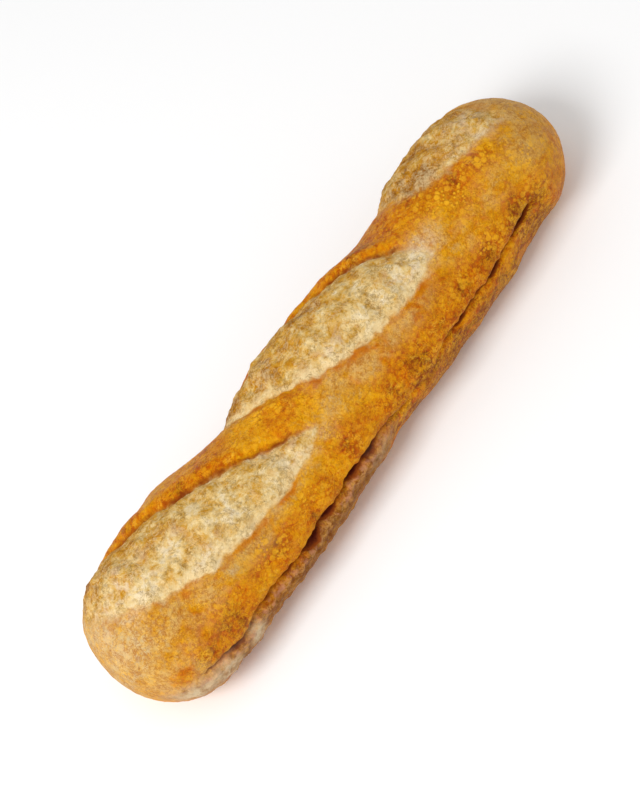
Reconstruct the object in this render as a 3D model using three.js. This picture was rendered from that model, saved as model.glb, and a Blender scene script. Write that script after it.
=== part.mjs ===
// A short baguette of the kind split for a banh mi sandwich: a crusty loaf with round ends, three
// slanting slashes that opened across its top, and a long ragged split low on one side, where the
// crust tore as the dough rose in the oven. It is one solid, baked through, resting on its flat base.
//
// Millimetres, +Z up. X runs along the loaf, from the fuller near end at -X to the slimmer far end at
// +X, and the split is on the -Y side. The origin lies on the table, under the middle of the loaf.
//
// A point of the crust is found from its station, x along the loaf, and its angle round it in degrees:
// 0 at the top, 90 at the -Y side, 180 at the base and -90 at the +Y side.

import * as THREE from "three";
import { mergeVertices } from "three/addons/utils/BufferGeometryUtils.js";

// Driving sizes of the plain loaf, before anything opens or tears.
const LENGTH = 260;
const HALF_LENGTH = LENGTH / 2;
const HALF_WIDTH = 30.4; // at the middle
const WIDTH_TAPER = 1.5; // how much more that is at the near end, and less at the far end
const RISE = 27.8; // from the axis up to the top crust
const RISE_TAPER = 1.2;
const DROP = 27; // from the axis down, before the table cuts the base flat
const AXIS_HEIGHT = 20;
const END_DROOP = 2.5; // the ends sink this much lower than the axis
const NEAR_CAP = 34; // length over which the near end rounds off
const FAR_CAP = 33;
const NEAR_POWER = 2.5; // 2 is a round end, and more is a blunter one
const FAR_POWER = 2.1;
const BASE_ROUND = 4; // height over which the side turns into the flat base

// Millimetres of crust for each degree round the loaf, used to lay the slashes out flat.
const MM_PER_DEGREE = 0.5;

// The slashes, each a leaf from its tip to its tail. A place is [station, mm round from the top].
// The leaf swells to either side of that line by the two sizes, and its last three numbers are two
// powers that say where and how bluntly it is fullest, and how sharp its edge is.
const SLASHES = [
  { tip: [-19, 18], tail: [-115, -36], sides: [32.5, 0.3], late: 1.69, blunt: 0.4, sharp: 1 },
  { tip: [55, 15], tail: [-39, -26], sides: [17.2, 18.5], late: 0.99, blunt: 0.65, sharp: 1 },
  { tip: [115, 6.5], tail: [67, -43], sides: [23.5, 19], late: 1.4, blunt: 0.64, sharp: 0.3 },
];
const LEAF_STEP = 1.5; // its edge's slope is taken over this distance
const PILLOW = 2.4; // how far the opened dough bulges out
const PILLOW_RUN = 14; // over this distance in from the slash's edge
const FOLD_DEPTH = 1.4; // of the fold all round a slash
const FOLD_WIDTH = 2.2;
const EAR = 1.1; // height of the lifted crust edge beside a slash
const EAR_WIDTH = 4.2;
const EAR_PLACE = 4.2; // its crest, out from the edge
const SOFT_SIDE = 0.5; // share of the fold and the ear on the split side, where the edge is soft
const EDGE_FADE = 42; // both die away over this length at each end of the loaf
const TIP_FADE = 12; // and over this length at each end of a slash

// Crags on the opened dough: waves that run in all directions, each turned from the last by the
// golden angle and shorter by this step.
const CRAGS = { waves: 6, longest: 15, shorten: 1.1, height: 0.2, turn: 137.5 };

// The split low on the -Y side: station and angle of the places it passes.
const SPLIT_PATH = [
  [-118, 76],
  [-101, 84],
  [-90, 88],
  [-75, 82],
  [-58, 85],
  [-38, 83],
  [-20, 80],
  [4, 85],
  [24, 83],
  [43, 80],
  [68, 80],
  [86, 75],
  [100, 74],
];
const WANDER = { degrees: 0.7, length: 19.5 }; // it strays this far from the lines between them
const SPLIT_FADE = 14; // it closes over this length at each end
const SPLIT_DEPTH = 1.6;
const SPLIT_WIDTH = 1.4;
const HEALED = { at: 20, length: 15, share: 0.85 }; // where the split nearly closes
const UPPER_LIP = 0.7; // the crust over the split stands out this much
const UPPER_LIP_WIDTH = 4;
const LOWER_LIP = 1.7; // the torn crust under it, on the near half
const LOWER_LIP_RISE = 3; // it stands up over this distance below the split
const LOWER_LIP_FALL = 14; // and sinks back over this one, down to its height
const LOWER_LIP_HEIGHT = 22;
const LOWER_LIP_TO = 2;

// Pockets where the split gapes: station, extra depth, half length.
const POCKETS = [
  [-96, 0.9, 4],
  [-75, 1.2, 3.5],
  [-66, 1.0, 3],
  [-51, 2.8, 3.8],
  [-40, 1.7, 3],
  [-24, 1.4, 3],
  [-14, 1.6, 3.5],
  [44, 0.8, 4],
  [66, 1.3, 3],
  [88, 2.2, 4.5],
];

// Broad hollows and swellings: station, angle, depth (a swelling's is negative), spread along the
// loaf in mm, spread round it in degrees. The first two are the waists between the slashes.
const HOLLOWS = [
  [-38, -78, 6.6, 19, 62],
  [53, -78, 5.4, 19, 62],
  [88, -60, 1.6, 14, 35],
  [18, -70, 2.4, 14, 40],
  [22, 95, -1.1, 15, 40],
  [5, 120, 1.6, 16, 45],
  [88, 85, 1.7, 12, 35],
  [112, 115, 1.3, 30, 50],
  [-78, -70, -1.6, 14, 40],
  [-98, 108, 1.0, 17, 40],
  [62, -80, -1.2, 10, 40],
  [-5, 92, 1.0, 7, 30],
  [126, 80, 1.6, 10, 60],
  [-124, -85, -2.2, 9, 50],
];

// Unevenness of hand-shaped dough: waves along the loaf that grow shorter and lower by these steps,
// each with a whole number of waves round it.
const LUMPS = { longest: 80, shorten: 1.42, height: 0.5, lower: 1.25, round: [1, 3, 5, 2, 4, 1] };

// The mesh is a ring of points at each station. Each span of a ring is its first angle, its last
// and the steps between them, and they crowd in where the split is.
const NEAR_RINGS = 12;
const BODY_RINGS = 75;
const FAR_RINGS = 11;
const RING_SPANS = [
  [-180, -150, 2],
  [-150, -60, 11],
  [-60, 70, 28],
  [70, 94, 9],
  [94, 150, 8],
  [150, 180, 2],
];
const SPLIT_MIDDLE = 82; // where those spans expect the split
const FOLLOW_SPREAD = 26; // degrees to either side of it whose points move along with it
const SNAP = 1.3; // a point this near a slash's edge moves onto it, so that the fold is sharp

const radians = (degrees) => THREE.MathUtils.degToRad(degrees);
const bump = (distance, spread) => Math.exp(-((distance / spread) ** 2));
const ease = (share) => THREE.MathUtils.smoothstep(share, 0, 1);
const halfTurn = (degrees) => THREE.MathUtils.euclideanModulo(degrees + 180, 360) - 180;
const fadeBetween = (x, from, to, run) => ease((x - from) / run) * ease((to - x) / run);

// Share of the full section that is left at a station: 1 along the body, 0 at either end.
function endScale(x) {
  const near = Math.max(0, (-x - (HALF_LENGTH - NEAR_CAP)) / NEAR_CAP);
  const far = Math.max(0, (x - (HALF_LENGTH - FAR_CAP)) / FAR_CAP);
  return Math.sqrt(Math.max(0, 1 - near ** NEAR_POWER - far ** FAR_POWER));
}

// Half the width of a slash's leaf at a distance along its line.
function leafWidth(along, length, widest, slash) {
  const share = THREE.MathUtils.clamp(along / length, 0, 1);
  return widest * Math.sin(Math.PI * share ** slash.late) ** slash.blunt;
}

// Where a point of the crust lies in a slash, in the flat layout: mm inside its nearest edge
// (negative outside), which side that edge is on (1 the split side, -1 the back), mm from the
// slash's nearer end, and the way out.
function placeInSlash(x, angle, slash) {
  const run = new THREE.Vector2(slash.tail[0] - slash.tip[0], slash.tail[1] - slash.tip[1]);
  const length = run.length();
  run.divideScalar(length);
  const here = new THREE.Vector2(x - slash.tip[0], MM_PER_DEGREE * angle - slash.tip[1]);
  const along = here.dot(run);
  const across = here.x * run.y - here.y * run.x;
  const fromEnd = Math.min(along, length - along);
  let place = { inside: Infinity };
  for (const [side, widest] of [[1, slash.sides[0]], [-1, slash.sides[1]]]) {
    const width = leafWidth(along, length, widest, slash);
    const ahead = leafWidth(along + LEAF_STEP, length, widest, slash);
    const behind = leafWidth(along - LEAF_STEP, length, widest, slash);
    const slope = (ahead - behind) / (2 * LEAF_STEP);
    const inside = (width - side * across) / Math.hypot(1, slope);
    const outwards = new THREE.Vector2(side * run.y, -side * run.x);
    outwards.addScaledVector(run, -slope).normalize();
    if (inside < place.inside) place = { inside, side, fromEnd, outwards };
  }
  if (fromEnd < 0) place.inside = -Math.hypot(fromEnd, across);
  return place;
}

// The opened dough stands out in a pillow with crags on it, inside a fold and a lifted crust edge.
function slashRelief(x, angle) {
  const crisp = ease((HALF_LENGTH - Math.abs(x)) / EDGE_FADE);
  let height = 0;
  for (const slash of SLASHES) {
    const { inside, side, fromEnd } = placeInSlash(x, angle, slash);
    const edge = slash.sharp * crisp * ease(fromEnd / TIP_FADE) * (side > 0 ? SOFT_SIDE : 1);
    height += PILLOW * ease(inside / PILLOW_RUN);
    height -= FOLD_DEPTH * edge * bump(inside, FOLD_WIDTH);
    if (inside < 0) {
      height += EAR * edge * bump(inside + EAR_PLACE, EAR_WIDTH);
    } else {
      height += cragRelief(x, MM_PER_DEGREE * angle) * ease(inside / EAR_WIDTH);
    }
  }
  return height;
}

function cragRelief(x, roundIt) {
  let height = 0;
  for (let i = 0; i < CRAGS.waves; i++) {
    const turned = radians(i * CRAGS.turn);
    const way = x * Math.cos(turned) + roundIt * Math.sin(turned);
    const length = CRAGS.longest / CRAGS.shorten ** i;
    height += CRAGS.height * Math.sin((2 * Math.PI * way) / length + i);
  }
  return height;
}

// Angle of the split at a station.
function splitAngle(x) {
  const last = SPLIT_PATH.length - 1;
  let i = 1;
  while (i < last && SPLIT_PATH[i][0] < x) i++;
  const [from, to] = [SPLIT_PATH[i - 1], SPLIT_PATH[i]];
  const share = THREE.MathUtils.clamp((x - from[0]) / (to[0] - from[0]), 0, 1);
  const wander = WANDER.degrees * Math.sin((2 * Math.PI * x) / WANDER.length);
  return THREE.MathUtils.lerp(from[1], to[1], share) + wander;
}

// The split itself, the lip above it and the torn lip below it.
function splitRelief(x, angle) {
  const below = MM_PER_DEGREE * (angle - splitAngle(x));
  const [from, to] = [SPLIT_PATH[0][0], SPLIT_PATH[SPLIT_PATH.length - 1][0]];
  const healed = HEALED.share * bump(x - HEALED.at, HEALED.length);
  const open = fadeBetween(x, from, to, SPLIT_FADE) * (1 - healed);
  const pockets = POCKETS.reduce((sum, [at, depth, half]) => sum + depth * bump(x - at, half), 0);
  let height = -(SPLIT_DEPTH + pockets) * open * bump(below, SPLIT_WIDTH);
  if (below < 0) {
    height += UPPER_LIP * open * bump(below + UPPER_LIP_WIDTH, UPPER_LIP_WIDTH);
  } else {
    const torn = fadeBetween(x, from - SPLIT_FADE, LOWER_LIP_TO, SPLIT_FADE);
    const stands = ease(below / LOWER_LIP_RISE);
    height += LOWER_LIP * torn * stands * ease((LOWER_LIP_HEIGHT - below) / LOWER_LIP_FALL);
  }
  return height;
}

function hollowRelief(x, angle) {
  return -HOLLOWS.reduce(
    (sum, [at, middle, depth, along, round]) =>
      sum + depth * bump(x - at, along) * bump(halfTurn(angle - middle), round),
    0,
  );
}

function lumpRelief(x, angle) {
  let height = 0;
  LUMPS.round.forEach((wavesRound, i) => {
    const length = LUMPS.longest / LUMPS.shorten ** i;
    const highest = LUMPS.height / LUMPS.lower ** i;
    const round = Math.cos(radians(wavesRound * angle) + i);
    height += highest * Math.sin((2 * Math.PI * x) / length + i) * round;
  });
  return height;
}

function relief(x, angle) {
  const dough = hollowRelief(x, angle) + lumpRelief(x, angle);
  return dough + slashRelief(x, angle) + splitRelief(x, angle);
}

// Cuts a height off at the table, with a round turn into it rather than a corner.
function restOnTable(z) {
  if (z > BASE_ROUND) return z;
  if (z < -BASE_ROUND) return 0;
  return (z + BASE_ROUND) ** 2 / (4 * BASE_ROUND);
}

function crustPoint(x, angle) {
  const scale = endScale(x);
  const towardsFar = x / HALF_LENGTH;
  const out = relief(x, angle);
  const sideways = HALF_WIDTH - WIDTH_TAPER * towardsFar + out;
  const upright = Math.cos(radians(angle));
  const height = (upright > 0 ? RISE - RISE_TAPER * towardsFar : DROP) + out;
  return new THREE.Vector3(
    x,
    -sideways * scale * Math.sin(radians(angle)),
    restOnTable(AXIS_HEIGHT - END_DROOP * (1 - scale) + height * scale * upright),
  );
}

// Moves a place on the crust onto the edge of a slash if it is nearly there, except at its ends.
function snapToSlash(x, angle) {
  for (const slash of SLASHES) {
    const { inside, fromEnd, outwards } = placeInSlash(x, angle, slash);
    if (fromEnd < TIP_FADE / 2 || Math.abs(inside) > SNAP) continue;
    return [x + inside * outwards.x, angle + (inside * outwards.y) / MM_PER_DEGREE];
  }
  return [x, angle];
}

// The stations of the rings, from the near tip to the far one. They bunch up at the round ends.
function ringStations() {
  const stations = [];
  for (let i = 0; i < NEAR_RINGS; i++) {
    stations.push(-HALF_LENGTH + NEAR_CAP * (1 - Math.cos(radians((90 * i) / NEAR_RINGS))));
  }
  for (let i = 0; i < BODY_RINGS; i++) {
    const share = i / BODY_RINGS;
    stations.push(THREE.MathUtils.lerp(-HALF_LENGTH + NEAR_CAP, HALF_LENGTH - FAR_CAP, share));
  }
  for (let i = FAR_RINGS; i >= 0; i--) {
    stations.push(HALF_LENGTH - FAR_CAP * (1 - Math.cos(radians((90 * i) / FAR_RINGS))));
  }
  return stations;
}

// The angles of a ring's points, from the base all the way round to it. They bend with the split.
function ringAngles(x) {
  const angles = [RING_SPANS[0][0]];
  for (const [from, to, steps] of RING_SPANS) {
    for (let i = 1; i <= steps; i++) angles.push(THREE.MathUtils.lerp(from, to, i / steps));
  }
  const shift = splitAngle(x) - SPLIT_MIDDLE;
  return angles.map((angle) => angle + shift * bump(angle - SPLIT_MIDDLE, FOLLOW_SPREAD));
}

// Gives every triangle its other side as the front.
function turnInsideOut(geometry) {
  const index = geometry.getIndex();
  for (let i = 0; i < index.count; i += 3) {
    const second = index.getX(i + 1);
    index.setX(i + 1, index.getX(i + 2));
    index.setX(i + 2, second);
  }
}

// A sphere with its poles at the tips of the loaf, whose points are moved onto the crust. Taking
// its rings and their points in this order turns it inside out, so it is turned back at the end.
// That way the long sides of its triangles run as the slashes do.
function loafGeometry() {
  const stations = ringStations();
  const around = ringAngles(0).length;
  const sphere = new THREE.SphereGeometry(1, around - 1, stations.length - 1);
  sphere.deleteAttribute("normal");
  sphere.deleteAttribute("uv");
  const position = sphere.getAttribute("position");
  stations.forEach((x, ring) => {
    const isTip = ring === 0 || ring === stations.length - 1;
    ringAngles(x).forEach((angle, i) => {
      const point = crustPoint(...(isTip ? [x, angle] : snapToSlash(x, angle)));
      position.setXYZ(ring * around + i, point.x, point.y, point.z);
    });
  });
  const loaf = mergeVertices(sphere, 1e-3);
  turnInsideOut(loaf);
  loaf.computeBoundingBox();
  const middle = loaf.boundingBox.getCenter(new THREE.Vector3());
  loaf.translate(-middle.x, -middle.y, 0);
  loaf.computeVertexNormals();
  return loaf;
}

const crust = new THREE.MeshStandardMaterial({ color: 0xc98f3c, roughness: 0.72, metalness: 0 });
const baguette = new THREE.Group();
const loaf = new THREE.Mesh(loafGeometry(), crust);
loaf.name = "loaf";
baguette.add(loaf);

export default baguette;
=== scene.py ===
# %% [markdown]
# # A banh mi baguette
#
# This lesson dresses one short, crusty loaf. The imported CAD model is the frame: it says where the
# loaf lies and how big it is, in metres. Everything that we make here stands for that one solid, so
# it has to keep its form and stay inside its box. The loading lines below come first because the
# frame's own objects have to be in the scene before anything can ride on them.

# %% Load the frame
import math

import bpy
import numpy as np
from mathutils import Matrix, Vector


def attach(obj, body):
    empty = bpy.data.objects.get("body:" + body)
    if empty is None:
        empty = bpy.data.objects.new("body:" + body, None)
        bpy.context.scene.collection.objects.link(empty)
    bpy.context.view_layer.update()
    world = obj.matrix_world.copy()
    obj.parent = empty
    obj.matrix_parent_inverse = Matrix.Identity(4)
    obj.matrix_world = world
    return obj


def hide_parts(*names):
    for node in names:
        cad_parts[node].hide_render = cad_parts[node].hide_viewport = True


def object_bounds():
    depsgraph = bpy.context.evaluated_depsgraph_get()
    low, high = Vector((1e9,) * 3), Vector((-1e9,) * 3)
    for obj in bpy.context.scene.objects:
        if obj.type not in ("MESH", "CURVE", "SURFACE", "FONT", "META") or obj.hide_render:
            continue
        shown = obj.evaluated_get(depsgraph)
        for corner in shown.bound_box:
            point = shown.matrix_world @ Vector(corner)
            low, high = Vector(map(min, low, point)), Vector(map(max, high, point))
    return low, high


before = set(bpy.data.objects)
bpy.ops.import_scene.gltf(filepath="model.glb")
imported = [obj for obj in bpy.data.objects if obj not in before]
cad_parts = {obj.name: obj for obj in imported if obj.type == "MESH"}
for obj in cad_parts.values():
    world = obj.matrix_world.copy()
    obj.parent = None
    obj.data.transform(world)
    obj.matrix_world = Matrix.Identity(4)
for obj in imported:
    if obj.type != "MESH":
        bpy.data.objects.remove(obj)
cad_low, cad_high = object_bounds()
MM = 0.001  # the baker's sizes below are in millimetres, and Blender's are in metres
print("CAD box in mm:", [round(side / MM, 1) for side in cad_high - cad_low])

# %% [markdown]
# ## The plain loaf
#
# Before it is slashed a loaf is a fat cigar: a rounded section, blunt ends, a flat base where it lay
# on the oven floor. We could sculpt it, or subdivide a box. A formula is better here, because every
# later step can ask it the same two questions of any point: how far along the loaf is it (x, in mm)
# and how far round (degrees from the top, positive towards the split at -Y). numpy answers for a
# hundred thousand points at once.

# %% Sizes of the plain loaf
HALF_LENGTH = 130
HALF_WIDTH, WIDTH_TAPER = 30.4, 1.5
RISE, RISE_TAPER, DROP = 27.8, 1.2, 27
AXIS_HEIGHT, END_DROOP = 20, 2.5
NEAR_CAP, FAR_CAP = 34, 33
NEAR_POWER, FAR_POWER = 2.5, 2.1
BASE_ROUND = 4
MM_PER_DEGREE = 0.5  # of crust, used to lay the slashes out flat


# %% Small curves that the rest is written with
def bump(distance, spread):
    """1 at no distance, fading to nothing beyond twice the spread."""
    return np.exp(-((np.asarray(distance) / spread) ** 2))


def ease(share):
    """A smooth step from 0 to 1."""
    share = np.clip(share, 0, 1)
    return share * share * (3 - 2 * share)


def fade_between(x, start, end, run):
    """1 between start and end, fading to 0 over a run at either end."""
    return ease((x - start) / run) * ease((end - x) / run)


def off_the_ends(x, run):
    """0 at the loaf's two tips, rising to 1 a run away from them."""
    return ease((HALF_LENGTH - np.abs(x)) / run)


def half_turn(degrees):
    """The same direction, from -180 to 180."""
    return (degrees + 180) % 360 - 180


def waves(x, around, longest, shorten, count, turn=137.5):
    """Uneven hills, a unit or two high, from sine waves that run in all directions."""
    height = 0
    for i in range(count):
        turned = math.radians(i * turn)
        way = x * math.cos(turned) + around * math.sin(turned)
        height = height + np.sin(2 * np.pi * way * shorten**i / longest + i)
    return height


# %% Share of the full section that is left towards the ends
def end_scale(x):
    near = np.clip((-x - (HALF_LENGTH - NEAR_CAP)) / NEAR_CAP, 0, 1)
    far = np.clip((x - (HALF_LENGTH - FAR_CAP)) / FAR_CAP, 0, 1)
    return np.sqrt(np.maximum(0, 1 - near**NEAR_POWER - far**FAR_POWER))


section_left = end_scale(np.array([-125, -115, -100])).round(2)
print("section left at 5, 15 and 30 mm from the near tip:", section_left)

# %% [markdown]
# ## The slashes
#
# A baker cuts the dough with a blade held flat. In the oven each cut opens into a half-moon, the
# dough inside swells into a pillow, and the crust behind the cut lifts into an ear. So each slash
# here is a leaf in the unrolled crust, and one signed distance to its edge drives everything: the
# pillow, the fold, the ear, and later the colours. Booleans would give hard edges and no distance.
# Each leaf says how wide it opens to either side, how late it is widest, how blunt its ends are and
# how sharp its edge is.

# %% Slashes, each from its tip to its tail, as (x, mm round from the top)
SLASHES = [
    dict(tip=(-19, 18), tail=(-115, -36), split_side=32.5, back_side=0.3, late=1.69, blunt=0.4, sharp=1),
    dict(tip=(55, 15), tail=(-39, -26), split_side=17.2, back_side=18.5, late=0.99, blunt=0.65, sharp=1),
    dict(tip=(115, 6.5), tail=(67, -43), split_side=23.5, back_side=19, late=1.4, blunt=0.64, sharp=0.3),
]
LEAF_STEP = 1.5
PILLOW, PILLOW_RUN = 2.4, 14
FOLD_DEPTH, FOLD_WIDTH = 1.4, 2.2
EAR, EAR_WIDTH, EAR_PLACE = 1.1, 4.2, 4.2
SOFT_SIDE = 0.5  # share of the fold and ear on the split side
EDGE_FADE, TIP_FADE = 42, 12
CRAG, CRAG_LENGTH, CRAG_SHORTEN, CRAG_WAVES = 0.2, 15, 1.1, 6
print("slashes:", len(SLASHES))


# %% Where a point lies in a slash
def leaf_width(along, length, widest, slash):
    share = np.clip(along / length, 0, 1)
    return widest * np.clip(np.sin(np.pi * share ** slash["late"]), 0, 1) ** slash["blunt"]


def place_in_slash(x, angle, slash):
    """mm inside the nearest edge (negative outside), the side it is on, and mm from the slash's end."""
    tip, tail = np.array(slash["tip"], float), np.array(slash["tail"], float)
    length = np.hypot(*(tail - tip))
    run = (tail - tip) / length
    from_tip = x - tip[0], MM_PER_DEGREE * angle - tip[1]
    along = from_tip[0] * run[0] + from_tip[1] * run[1]
    across = from_tip[0] * run[1] - from_tip[1] * run[0]
    inside, nearest = np.inf, 1
    for side, widest in ((1, slash["split_side"]), (-1, slash["back_side"])):
        ahead = leaf_width(along + LEAF_STEP, length, widest, slash)
        behind = leaf_width(along - LEAF_STEP, length, widest, slash)
        slope = (ahead - behind) / (2 * LEAF_STEP)
        gap = (leaf_width(along, length, widest, slash) - side * across) / np.hypot(1, slope)
        nearest = np.where(gap < inside, side, nearest)
        inside = np.minimum(inside, gap)
    from_end = np.minimum(along, length - along)
    return np.where(from_end < 0, -np.hypot(from_end, across), inside), nearest, from_end


# %% Relief of the slashes
def slash_relief(places, x, around):
    """The relief of slashes whose points have been placed already, each as place_in_slash gives it."""
    crisp = off_the_ends(x, EDGE_FADE)
    crags = CRAG * waves(x, around, CRAG_LENGTH, CRAG_SHORTEN, CRAG_WAVES)
    height = 0
    for slash, (inside, side, from_end) in zip(SLASHES, places):
        edge = slash["sharp"] * crisp * ease(from_end / TIP_FADE) * np.where(side > 0, SOFT_SIDE, 1)
        pillow = PILLOW * ease(inside / PILLOW_RUN)
        height = height + pillow - FOLD_DEPTH * edge * bump(inside, FOLD_WIDTH)
        ear = EAR * edge * bump(inside + EAR_PLACE, EAR_WIDTH)
        height = height + np.where(inside < 0, ear, crags * ease(inside / EAR_WIDTH))
    return height


# %% [markdown]
# ## The split
#
# Low on one side the crust tore open from end to end, as it does where two loaves nearly touch in
# the oven. It is a narrow groove with deeper pockets, a rolled lip above and a rough, paler lip
# below. A few named stations give its path, and a sine wave makes it wander between them.

# %% The split's path and sizes
SPLIT_STATIONS = [-118, -101, -90, -75, -58, -38, -20, 4, 24, 43, 68, 86, 100]
SPLIT_ANGLES = [76, 84, 88, 82, 85, 83, 80, 85, 83, 80, 80, 75, 74]
SPLIT_FROM, SPLIT_TO = SPLIT_STATIONS[0], SPLIT_STATIONS[-1]
WANDER, WANDER_LENGTH = 0.7, 19.5
SPLIT_FADE, SPLIT_DEPTH, SPLIT_WIDTH = 14, 1.6, 1.4
HEALED_AT, HEALED_LENGTH, HEALED_SHARE = 20, 15, 0.85
UPPER_LIP, UPPER_LIP_WIDTH = 0.7, 4
LOWER_LIP, LOWER_LIP_RISE, LOWER_LIP_FALL, LOWER_LIP_HEIGHT, LOWER_LIP_TO = 1.7, 3, 14, 22, 2
POCKETS = [  # station, extra depth, half length
    (-96, 0.9, 4),
    (-75, 1.2, 3.5),
    (-66, 1.0, 3),
    (-51, 2.8, 3.8),
    (-40, 1.7, 3),
    (-24, 1.4, 3),
    (-14, 1.6, 3.5),
    (44, 0.8, 4),
    (66, 1.3, 3),
    (88, 2.2, 4.5),
]


# %% Relief of the split
def split_angle(x):
    return np.interp(x, SPLIT_STATIONS, SPLIT_ANGLES) + WANDER * np.sin(2 * np.pi * x / WANDER_LENGTH)


def split_open(x):
    healed = HEALED_SHARE * bump(x - HEALED_AT, HEALED_LENGTH)
    return fade_between(x, SPLIT_FROM, SPLIT_TO, SPLIT_FADE) * (1 - healed)


def pocket_depth(x):
    return sum(depth * bump(x - at, half) for at, depth, half in POCKETS)


def lower_lip(x, below):
    torn = fade_between(x, SPLIT_FROM - SPLIT_FADE, LOWER_LIP_TO, SPLIT_FADE)
    return torn * ease(below / LOWER_LIP_RISE) * ease((LOWER_LIP_HEIGHT - below) / LOWER_LIP_FALL)


def split_relief(x, below):
    groove = (SPLIT_DEPTH + pocket_depth(x)) * split_open(x) * bump(below, SPLIT_WIDTH)
    upper = UPPER_LIP * split_open(x) * bump(below + UPPER_LIP_WIDTH, UPPER_LIP_WIDTH)
    return np.where(below < 0, upper, LOWER_LIP * lower_lip(x, below)) - groove


print("angles of the split at its two ends:", split_angle(np.array([SPLIT_FROM, SPLIT_TO])).round(1))
print("depths of the pockets there, in mm:", [depth for at, depth, half in POCKETS])


# %% [markdown]
# ## Hand-shaped dough
#
# No loaf is straight. Broad hollows pull the back in between the slashes, and low lumps run along
# it. The lumps have whole numbers of waves round the loaf, so that they meet themselves again.

# %% Hollows and lumps
HOLLOWS = [  # station, angle, depth, spread along, spread round; a swelling's depth is negative
    (-38, -78, 6.6, 19, 62),
    (53, -78, 5.4, 19, 62),
    (88, -60, 1.6, 14, 35),
    (18, -70, 2.4, 14, 40),
    (22, 95, -1.1, 15, 40),
    (5, 120, 1.6, 16, 45),
    (88, 85, 1.7, 12, 35),
    (112, 115, 1.3, 30, 50),
    (-78, -70, -1.6, 14, 40),
    (-98, 108, 1.0, 17, 40),
    (62, -80, -1.2, 10, 40),
    (-5, 92, 1.0, 7, 30),
    (126, 80, 1.6, 10, 60),
    (-124, -85, -2.2, 9, 50),
]
LUMP_LONGEST, LUMP_SHORTEN, LUMP_HEIGHT, LUMP_LOWER = 80, 1.42, 0.5, 1.25
LUMPS_ROUND = [1, 3, 5, 2, 4, 1]


def dough_relief(x, angle):
    height = -sum(
        depth * bump(x - at, along) * bump(half_turn(angle - middle), around)
        for at, middle, depth, along, around in HOLLOWS
    )
    for i, waves_round in enumerate(LUMPS_ROUND):
        length = LUMP_LONGEST / LUMP_SHORTEN**i
        along = np.sin(2 * np.pi * x / length + i)
        round_loaf = np.cos(np.radians(waves_round * angle) + i)
        height = height + LUMP_HEIGHT / LUMP_LOWER**i * along * round_loaf
    return height


print("hollows and swellings:", len(HOLLOWS), "lumps:", len(LUMPS_ROUND))


# %% The crust's place in space
def rest_on_table(z):
    """Cuts a height off at the table, with a round turn into it."""
    turned = (np.maximum(z, -BASE_ROUND) + BASE_ROUND) ** 2 / (4 * BASE_ROUND)
    return np.where(z > BASE_ROUND, z, turned)


def crust_point(x, angle, relief):
    scale, towards_far = end_scale(x), x / HALF_LENGTH
    side, up = np.sin(np.radians(angle)), np.cos(np.radians(angle))
    sideways = HALF_WIDTH - WIDTH_TAPER * towards_far + relief
    height = np.where(up > 0, RISE - RISE_TAPER * towards_far, DROP) + relief
    z = rest_on_table(AXIS_HEIGHT - END_DROOP * (1 - scale) + height * scale * up)
    return np.stack([x, -sideways * scale * side, z], axis=-1)


top = crust_point(np.zeros(1), np.zeros(1), np.zeros(1))
print("height of the plain loaf in the middle, in mm:", top[0, 2].round(1))


# %% [markdown]
# ## The grid of points
#
# A ring of points stands at each station, crowded where the detail is: on the top, and most of all
# along the split, whose columns bend with it. Spacing is about two thirds of a millimetre, close
# enough for blisters, while one piece stays under two hundred thousand triangles.

# %% Rings and columns
NEAR_RINGS, BODY_RINGS, FAR_RINGS = 68, 284, 66
RING_SPANS = [  # from, to, steps
    (-180, -100, 33),
    (-100, 60, 122),
    (60, 66, 4),
    (66, 98, 36),
    (98, 118, 13),
    (118, 180, 24),
]
SPLIT_MIDDLE, FOLLOW_SPREAD = 82, 26


def ring_stations():
    turns = np.arange(1, NEAR_RINGS) / NEAR_RINGS * np.pi / 2
    near = -HALF_LENGTH + NEAR_CAP * (1 - np.cos(turns))
    body = np.linspace(-HALF_LENGTH + NEAR_CAP, HALF_LENGTH - FAR_CAP, BODY_RINGS)
    turns = np.arange(FAR_RINGS - 1, 0, -1) / FAR_RINGS * np.pi / 2
    return np.concatenate([near, body, HALF_LENGTH - FAR_CAP * (1 - np.cos(turns))])


stations = ring_stations()
columns = np.concatenate([np.linspace(a, b, steps, endpoint=False) for a, b, steps in RING_SPANS])
grid_x, grid_angle = np.meshgrid(stations, columns, indexing="ij")
shift = split_angle(grid_x) - SPLIT_MIDDLE
grid_angle = grid_angle + shift * bump(grid_angle - SPLIT_MIDDLE, FOLLOW_SPREAD)
print("rings and columns:", grid_x.shape, "triangles:", 2 * grid_x.size)

# %% [markdown]
# ## Finer relief than the CAD's
#
# The frame's solid has the loaf's form but few faces. Here the same form gets what it could not
# hold: a sharp crease under each ear, a wobble along the slash edges, narrow clefts in the split and
# torn strands on its lip. It all goes inwards from the CAD's surface or barely outwards, so the box
# stays the same.

# %% Where every point is
EDGE_WOBBLE, WOBBLE_LENGTH, WOBBLE_SHORTEN, WOBBLE_WAVES = 0.3, 17, 1.45, 4
TEAR_WOBBLE, TEAR_LENGTH, TEAR_SHORTEN, TEAR_WAVES, TEAR_REACH = 0.25, 15, 1.63, 4, 3

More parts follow.
